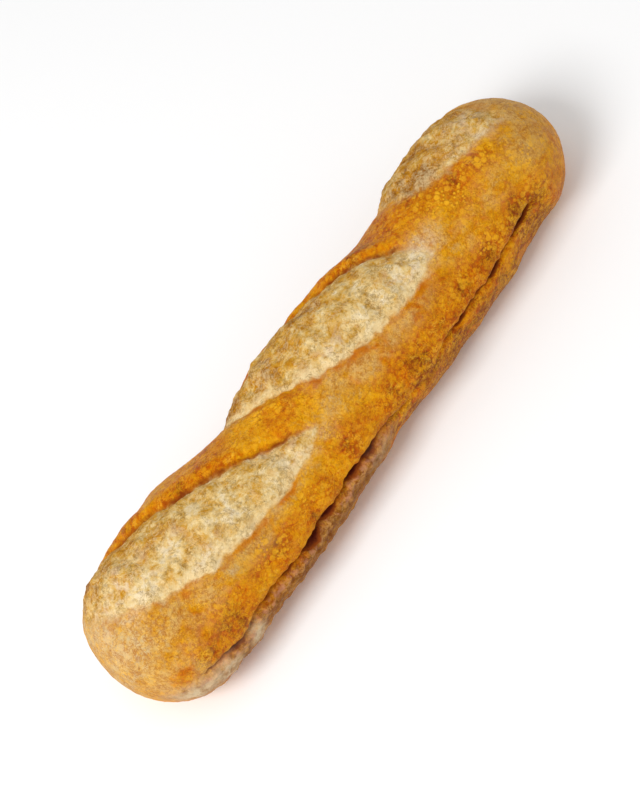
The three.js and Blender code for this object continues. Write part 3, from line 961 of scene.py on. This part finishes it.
def crust_colour(tree, place, ragged):
    blotches = swing(tree, place, size_mm=14, amount=1.0)
    mottling = swing(tree, place, size_mm=5.0, amount=0.75, detail=4, roughness=0.6, distortion=0.8)
    grain = swing(tree, place, size_mm=1.3, amount=0.45, detail=2)
    colour = ramp(tree, add_up(tree, stored(tree, "bake"), blotches, mottling, grain), CRUST_COLOURS)
    haze = stored(tree, "hazed")
    patchy = clouds(tree, place, size_mm=7, start=0.36, end=0.58, detail=4)
    colour = tint(tree, colour, TAN, haze, patchy, HAZE_STRENGTH)
    colour = tint(tree, colour, WHITE_FLOUR, stored(tree, "whitened"), patchy, WHITE_ON_CRUST)
    rough_places = clouds(tree, place, size_mm=11, start=0.4, end=0.62, low=0.4)
    curled = calc(tree, "MULTIPLY_ADD", haze, SHADE_IN_HAZE, SHADE_STRENGTH)
    on_gold = calc(tree, "MULTIPLY_ADD", haze, -HAZE_OVER_GOLD, 1.0)
    layers = [
        (DARK_STROKE, 5.2, 0.07, 0.16, [0.35]),
        (CURL_SHADE, 2.6, 0.07, 0.22, [curled]),
        (CURL_SHADE, 1.5, 0.1, 0.2, [curled]),
        (LIGHT_STROKE, 3.6, 0.09, 0.2, [rough_places, on_gold, 0.45]),
        (FLECK, 2.1, 0.07, 0.12, [rough_places, 0.5]),
        (LIGHT_STROKE, 1.3, 0.1, 0.2, [on_gold, 0.35]),
    ]
    colour = add_strokes(tree, place, colour, layers)
    # blister tops lighter, partly their own colour and partly painted highlight
    colour = tint(tree, colour, BLISTER_TOP_AND_HIGHLIGHT, stored(tree, "blister"), RAISED_TOP)
    blistered = calc(tree, "MULTIPLY", stored(tree, "blistered"), PAINTED_BOOST, clamp=True)
    colour = tint(tree, colour, BLISTER_TOP_AND_HIGHLIGHT, blister_spots(tree, place), blistered, PAINTED_TOP)
    split_side, crisp = stored(tree, "split_side"), stored(tree, "crisp")
    brushed = clouds(tree, place, size_mm=9, start=0.42, end=0.62, detail=2)
    edge = near_to(tree, ragged, EDGE_AT, EDGE_REACH)
    return tint(tree, colour, EDGE_BROWN, edge, split_side, crisp, brushed, EDGE_STRENGTH)


# %% [markdown]
# ## Opened dough
#
# Where a slash opened, dough came up late and baked less: cream with toasted patches, white in
# places, fibrous, with small pores darkened by painted shade. It is built as the crust is, on a ramp of its
# own, with pale fibres and thin shadows in place of the golden curls. A pale rim follows the edge on the
# split side, partly where the skin was drawn out thin and partly a painted highlight on the raised edge.

# %% The opened dough's colour
WHITE_ON_DOUGH, PORE_SHADE_STRENGTH = 0.8, 0.6
PALE_AT, PALE_REACH = 1.6, 3.4  # mm inside the slash
RUB_LEAST, RUB_MORE = 0.5, 0.4  # strength of the pale rim, and how much more it is in patches
DOUGH_STROKES = [
    (FIBRE, 3.6, 0.09, 0.2, [0.35]),
    (FIBRE, 1.4, 0.1, 0.22, [0.25]),
    (WRINKLE_SHADE, 3.2, 0.045, 0.14, [0.5]),
    (WRINKLE_SHADE, 1.6, 0.08, 0.16, [0.35]),
]


def dough_colour(tree, place, ragged):
    patches = swing(tree, place, size_mm=8, amount=1.25)
    mottling = swing(tree, place, size_mm=3.8, amount=1.0, detail=3, roughness=0.55, distortion=0.8)
    grain = swing(tree, place, size_mm=1.2, amount=0.35, detail=2)
    colour = ramp(tree, add_up(tree, stored(tree, "toast"), patches, mottling, grain), DOUGH_COLOURS)
    patchy = clouds(tree, place, size_mm=4, start=0.42, end=0.6, detail=5, roughness=0.65, distortion=0.6)
    colour = tint(tree, colour, WHITE_FLOUR, stored(tree, "whitened"), patchy, WHITE_ON_DOUGH)
    rim = near_to(tree, ragged, PALE_AT, PALE_REACH)
    rubbed = calc(tree, "MULTIPLY_ADD", patchy, RUB_MORE, RUB_LEAST)
    # pale rim on the split side: partly drawn-out pale skin, partly painted highlight on the raised edge
    colour = tint(tree, colour, PALE_RIM_AND_HIGHLIGHT, rim, stored(tree, "split_side"), stored(tree, "crisp"), rubbed)
    colour = add_strokes(tree, place, colour, DOUGH_STROKES)
    # painted shade in the pores
    return tint(tree, colour, PORE_SHADE, stored(tree, "pore"), PORE_SHADE_STRENGTH)


# %% [markdown]
# ## Torn lip and flour
#
# The split is dark inside, its own darker dough under painted shade of the groove and its pockets. The
# lip below it is rough, rosy near the tear and darker further down, its own brown deepened by painted
# shade of the underside, and flour whitens it in spots. The vertices are too far apart for edges as
# ragged as these, so noise moves the stored distances first, and only then are they turned into colour.

# %% The split and the flour over everything
LIP_STRENGTH, BROWN_AND_SHADE_STRENGTH, ROSY_STRENGTH, FLOUR_STRENGTH = 0.8, 0.75, 0.75, 0.8
# the lip darkens further down: partly its own brown, partly painted shade of the loaf's underside
BROWN_AND_SHADE_FROM, BROWN_AND_SHADE_FULL = 3.5, 7.0  # mm below the split
ROSY_AT, ROSY_REACH = 2.2, 2.6  # mm below the split
LIP_FRAY, DARK_FRAY = 3.0, 0.6


def torn_colours(tree, place, colour):
    lip = stored(tree, "torn_lip")
    rough = clouds(tree, place, size_mm=2.4, start=0.4, end=0.58, detail=5, roughness=0.7, distortion=0.6)
    colour = tint(tree, colour, tint(tree, LIP_TAN, LIP_BROWN, rough), lip, LIP_STRENGTH)
    below = calc(tree, "ADD", stored(tree, "split_below"), swing(tree, place, size_mm=3.5, amount=LIP_FRAY))
    # darker lower on the lip: its own brown and painted shade of the underside
    brown = step_between(tree, below, BROWN_AND_SHADE_FROM, BROWN_AND_SHADE_FULL)
    colour = tint(tree, colour, LIP_BROWN, brown, lip, BROWN_AND_SHADE_STRENGTH)
    rosy_spots = clouds(tree, place, size_mm=3.0, start=0.48, end=0.6, detail=3)
    rosy = near_to(tree, below, ROSY_AT, ROSY_REACH)
    colour = tint(tree, colour, ROSY, rosy, lip, rosy_spots, ROSY_STRENGTH)
    # inside the split: the torn dough's own darker colour and painted shade of the groove and its pockets
    dark_fray = swing(tree, place, size_mm=3.0, amount=DARK_FRAY, detail=3)
    dark = calc(tree, "ADD", stored(tree, "split_dark"), dark_fray)
    colour = tint(tree, colour, SPLIT_BROWN_AND_SHADE, step_between(tree, dark, start=0.2, end=0.5))
    colour = tint(tree, colour, SPLIT_DARK_AND_SHADE, step_between(tree, dark, start=0.55, end=0.85))
    patchy = clouds(tree, place, size_mm=4.0, start=0.36, end=0.62, low=0.3, detail=5, roughness=0.7)
    return tint(tree, colour, FLOUR, stored(tree, "flour"), patchy, FLOUR_STRENGTH)


# %% [markdown]
# ## One skin from all the parts
#
# Crust and opened dough meet along a ragged edge. Noise moves the distance to it in and out, more
# where the edge is soft and less on the ear's side, and a step of a few millimetres blends the two.
# A painted shadow darkens the fold under each ear.
# Gloss and bump come last. The bump only adds grain and tiny blisters that are finer than the mesh
# can hold.

# %% The whole material
FRAY = 5.0  # mm between the furthest in and the furthest out that noise can move the edge
EAR_FRAY, SOFT_FRAY = 0.25, 0.8  # share of it on the ear's side, and share added where it is soft
FIRM_FROM, FIRM_TO = -0.7, 1.1  # mm inside the edge over which crust turns into dough
SOFT_FROM, SOFT_TO = -2.0, 2.2  # mm further out and in where the edge is soft
# where the painted shadow under the ear lies
EAR_SHADE_AT, EAR_SHADE_REACH = -0.3, 1.2  # mm inside the edge
CRUST_ROUGHNESS, DOUGH_ROUGHER, ROUGHNESS_SWING = 0.5, 0.3, 0.3
SHINE, SHINE_TINT = 0.14, linear(255, 224, 160)
BUMP_DEPTH, BLISTER_BUMP = 0.6 * MM, 0.6


def crust_material():
    material = bpy.data.materials.new("baked crust")
    material.use_nodes = True
    tree = material.node_tree
    shader = tree.nodes["Principled BSDF"]
    place = add(tree, "ShaderNodeTexCoord").outputs["Object"]
    split_side, soft = stored(tree, "split_side"), stored(tree, "soft_edge")
    frayed = swing(tree, place, size_mm=5.0, amount=FRAY, detail=3, distortion=0.6)
    fray = calc(tree, "MULTIPLY", frayed, step_between(tree, split_side, 0.0, 1.0, low=EAR_FRAY))
    more_fray = calc(tree, "MULTIPLY_ADD", soft, SOFT_FRAY, 1.0)
    ragged = calc(tree, "MULTIPLY_ADD", fray, more_fray, stored(tree, "slash_depth"))
    outer = calc(tree, "MULTIPLY_ADD", soft, SOFT_FROM, FIRM_FROM)
    inner = calc(tree, "MULTIPLY_ADD", soft, SOFT_TO, FIRM_TO)
    dough = step_between(tree, ragged, outer, inner)
    colour = tint(tree, crust_colour(tree, place, ragged), dough_colour(tree, place, ragged), dough)
    # painted shadow in the fold under each ear, on the ear's side only, broken into patches
    ear_side = calc(tree, "SUBTRACT", 1.0, split_side)
    broken = clouds(tree, place, size_mm=6, start=0.35, end=0.6, low=0.3, high=0.9, detail=2)
    shade = near_to(tree, ragged, EAR_SHADE_AT, EAR_SHADE_REACH)
    colour = tint(tree, colour, PAINTED_EAR_SHADOW, shade, ear_side, stored(tree, "crisp"), broken)
    tree.links.new(torn_colours(tree, place, colour), shader.inputs["Base Color"])
    gloss_patches = swing(tree, place, size_mm=5, amount=ROUGHNESS_SWING)
    roughness = add_up(tree, CRUST_ROUGHNESS, calc(tree, "MULTIPLY", dough, DOUGH_ROUGHER), gloss_patches)
    tree.links.new(roughness, shader.inputs["Roughness"])
    shader.inputs["Specular IOR Level"].default_value = SHINE
    shader.inputs["Specular Tint"].default_value = SHINE_TINT
    fine = noise(tree, place, size_mm=1.2, detail=5, roughness=0.7, distortion=0.8)
    blisters = calc(tree, "MULTIPLY", blister_spots(tree, place), stored(tree, "blistered"))
    relief = add_up(tree, fine, calc(tree, "MULTIPLY", blisters, BLISTER_BUMP))
    bumped = add(tree, "ShaderNodeBump", {"Height": relief, "Strength": 1.0, "Distance": BUMP_DEPTH})
    tree.links.new(bumped.outputs[0], shader.inputs["Normal"])
    return material


crust = crust_material()
print("nodes in the crust material:", len(crust.node_tree.nodes))

# %% [markdown]
# ## Putting the trees to work
#
# A modifier's inputs are set by the socket's identifier, and before the object is first evaluated.
# The evaluated mesh then replaces the plain one and the modifiers go, because the loaf has to be a
# finished mesh before it may ride on the frame. Each call below names its heights and sizes.

# %% Add the modifiers
def use_tree(piece, tree, **values):
    """Adds a geometry nodes modifier and sets its inputs, named with _ for each space."""
    modifier = piece.modifiers.new(tree.name, "NODES")
    modifier.node_group = tree
    for item in tree.interface.items_tree:
        key = item.name.replace(" ", "_")
        if item.in_out == "INPUT" and key in values:
            modifier[item.identifier] = values.pop(key)
    assert not values, values


use_tree(
    loaf,
    wrinkle_tree(),
    Wrinkle_height=0.7 * MM,
    Wrinkle_size=3.2 * MM,
    Crag_height=1.8 * MM,
    Crag_size=3.4 * MM,
    Tear_height=2.4 * MM,
    Tear_size=4.0 * MM,
    Finish=crust,
)
bubbles = bubble_tree()
blisters = dict(Spacing=1.4 * MM, Radius=1.25 * MM, Height=0.35 * MM, Seed=7)
pores = dict(Spacing=1.6 * MM, Radius=1.0 * MM, Height=-0.6 * MM, Seed=11)
use_tree(loaf, bubbles, Where="blistered", Mark="blister", Finish=crust, **blisters)
use_tree(loaf, bubbles, Where="pored", Mark="pore", Finish=crust, **pores)
print("modifiers on the loaf:", [modifier.name for modifier in loaf.modifiers])

# %% Take the finished mesh
evaluated = loaf.evaluated_get(bpy.context.evaluated_depsgraph_get())
finished_mesh = bpy.data.meshes.new_from_object(evaluated)
loaf.modifiers.clear()
loaf.data = finished_mesh
finished_mesh.name = "baguette_loaf"
place = np.zeros(3 * len(finished_mesh.vertices))
finished_mesh.vertices.foreach_get("co", place)
place = place.reshape(-1, 3)
print("loaf before fitting, mm:", (place.min(0) / MM).round(2), (place.max(0) / MM).round(2))

# %% [markdown]
# ## Keeping the CAD's box
#
# The origin is under the middle of the CAD's box, so the loaf slides sideways by the fraction of a
# millimetre that its formula is off. What a blister pushed past the box is drawn back to it.

# %% Fit the loaf into the box
middle = (np.array(cad_low) + np.array(cad_high)) / 2
place[:, :2] += middle[:2] - (place.min(0)[:2] + place.max(0)[:2]) / 2
place = np.clip(place, np.array(cad_low), np.array(cad_high))
finished_mesh.vertices.foreach_set("co", place.ravel())
finished_mesh.update()
finished_mesh.shade_smooth()
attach(loaf, "root")
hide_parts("loaf")
print("triangles in the loaf:", sum(len(face.vertices) - 2 for face in finished_mesh.polygons))

# %% [markdown]
# ## Floor
#
# The floor is a plain pale sheet a hair below the base, so that the two never share a plane.

# %% Make the floor
FLOOR_HALF, FLOOR_GAP = 3.0, 0.2 * MM
FLOOR_COLOUR, FLOOR_ROUGHNESS = (0.96, 0.96, 0.96, 1), 0.9
CORNER_SIGNS = ((-1, -1), (1, -1), (1, 1), (-1, 1))
floor_mesh = bpy.data.meshes.new("floor")
floor_corners = [(x * FLOOR_HALF, y * FLOOR_HALF, -FLOOR_GAP) for x, y in CORNER_SIGNS]
floor_mesh.from_pydata(floor_corners, [], [(0, 1, 2, 3)])
floor = bpy.data.objects.new("floor", floor_mesh)
bpy.context.scene.collection.objects.link(floor)
floor_paint = bpy.data.materials.new("pale floor")
floor_paint.use_nodes = True
floor_inputs = floor_paint.node_tree.nodes["Principled BSDF"].inputs
floor_inputs["Base Color"].default_value = FLOOR_COLOUR
floor_inputs["Roughness"].default_value = FLOOR_ROUGHNESS
floor_mesh.materials.append(floor_paint)
print("floor:", 2 * FLOOR_HALF, "m wide")

# %% [markdown]
# ## Camera
#
# The photo looks down on the loaf from the split side with the picture turned, so that the loaf runs
# up to the right. A tilt and a swing give the direction from the loaf to the camera, a roll turns
# the frame, and the whole camera slides sideways to put the loaf's middle on its pixel. No lens
# shift is needed.

# %% Place the camera
TILT, SWING, ROLL = math.radians(33), math.radians(10), math.radians(54)
LENS, SENSOR = 85, 36
FRAME_WIDTH, FRAME_HEIGHT = 640, 800
DISTANCE = 0.6813  # metres from the middle of the loaf
LOOK_AT = Vector((0, 0, 24 * MM))
LOAF_PIXEL = (331.5, 384.1)  # where that point is in the photo

back = Vector(
    (-math.sin(SWING), -math.cos(SWING) * math.sin(TILT), math.cos(SWING) * math.cos(TILT))
)
along_loaf = (Vector((1, 0, 0)) - back * back.x).normalized()
up_from_loaf = back.cross(along_loaf)
camera_right = math.cos(ROLL) * along_loaf - math.sin(ROLL) * up_from_loaf
camera_up = math.sin(ROLL) * along_loaf + math.cos(ROLL) * up_from_loaf
metres_per_pixel = DISTANCE * SENSOR / LENS / FRAME_HEIGHT
sideways = camera_right * (LOAF_PIXEL[0] - FRAME_WIDTH / 2) * metres_per_pixel
upwards = camera_up * (FRAME_HEIGHT / 2 - LOAF_PIXEL[1]) * metres_per_pixel

camera_data = bpy.data.cameras.new("camera")
camera_data.lens, camera_data.sensor_width = LENS, SENSOR
camera = bpy.data.objects.new("camera", camera_data)
bpy.context.scene.collection.objects.link(camera)
turn = Matrix((camera_right, camera_up, back)).transposed().to_4x4()
camera.matrix_world = Matrix.Translation(LOOK_AT + back * DISTANCE - sideways - upwards) @ turn
bpy.context.scene.camera = camera
print("camera at, in m:", [round(side, 3) for side in camera.matrix_world.translation])

# %% [markdown]
# ## Light
#
# Soft studio light, as in a product picture: one large lamp above the loaf, to the left of the
# picture, a weaker one opposite to open the shadows, and a bright surround. The view transform is
# Standard, so that the colours above arrive in the picture as they were chosen.

# %% Lamps and surround
def add_lamp(name, direction, distance, size, power):
    """A square lamp that faces the loaf from a direction, at a distance, in metres."""
    data = bpy.data.lights.new(name, "AREA")
    data.shape, data.size, data.energy = "SQUARE", size, power
    lamp = bpy.data.objects.new(name, data)
    lamp.location = LOOK_AT + direction.normalized() * distance
    lamp.rotation_euler = (-direction).to_track_quat("-Z", "Y").to_euler()
    bpy.context.scene.collection.objects.link(lamp)
    print(name, "lamp at, in m:", [round(side, 2) for side in lamp.location])


left_of_picture, top_of_picture = -camera_right, camera_up
from_the_left = back + left_of_picture * 0.7 - top_of_picture * 0.3
from_the_right = back * 0.6 - left_of_picture * 1.0 + top_of_picture * 0.6
add_lamp("key", from_the_left, distance=1.3, size=0.6, power=11.5)
add_lamp("fill", from_the_right, distance=1.3, size=0.9, power=1.5)
SURROUND_COLOUR, SURROUND_STRENGTH = (1, 1, 1, 1), 0.62
world = bpy.data.worlds.new("surround")
bpy.context.scene.world = world
world.use_nodes = True
surround_inputs = world.node_tree.nodes["Background"].inputs
surround_inputs["Color"].default_value = SURROUND_COLOUR
surround_inputs["Strength"].default_value = SURROUND_STRENGTH
bpy.context.scene.view_settings.view_transform = "Standard"
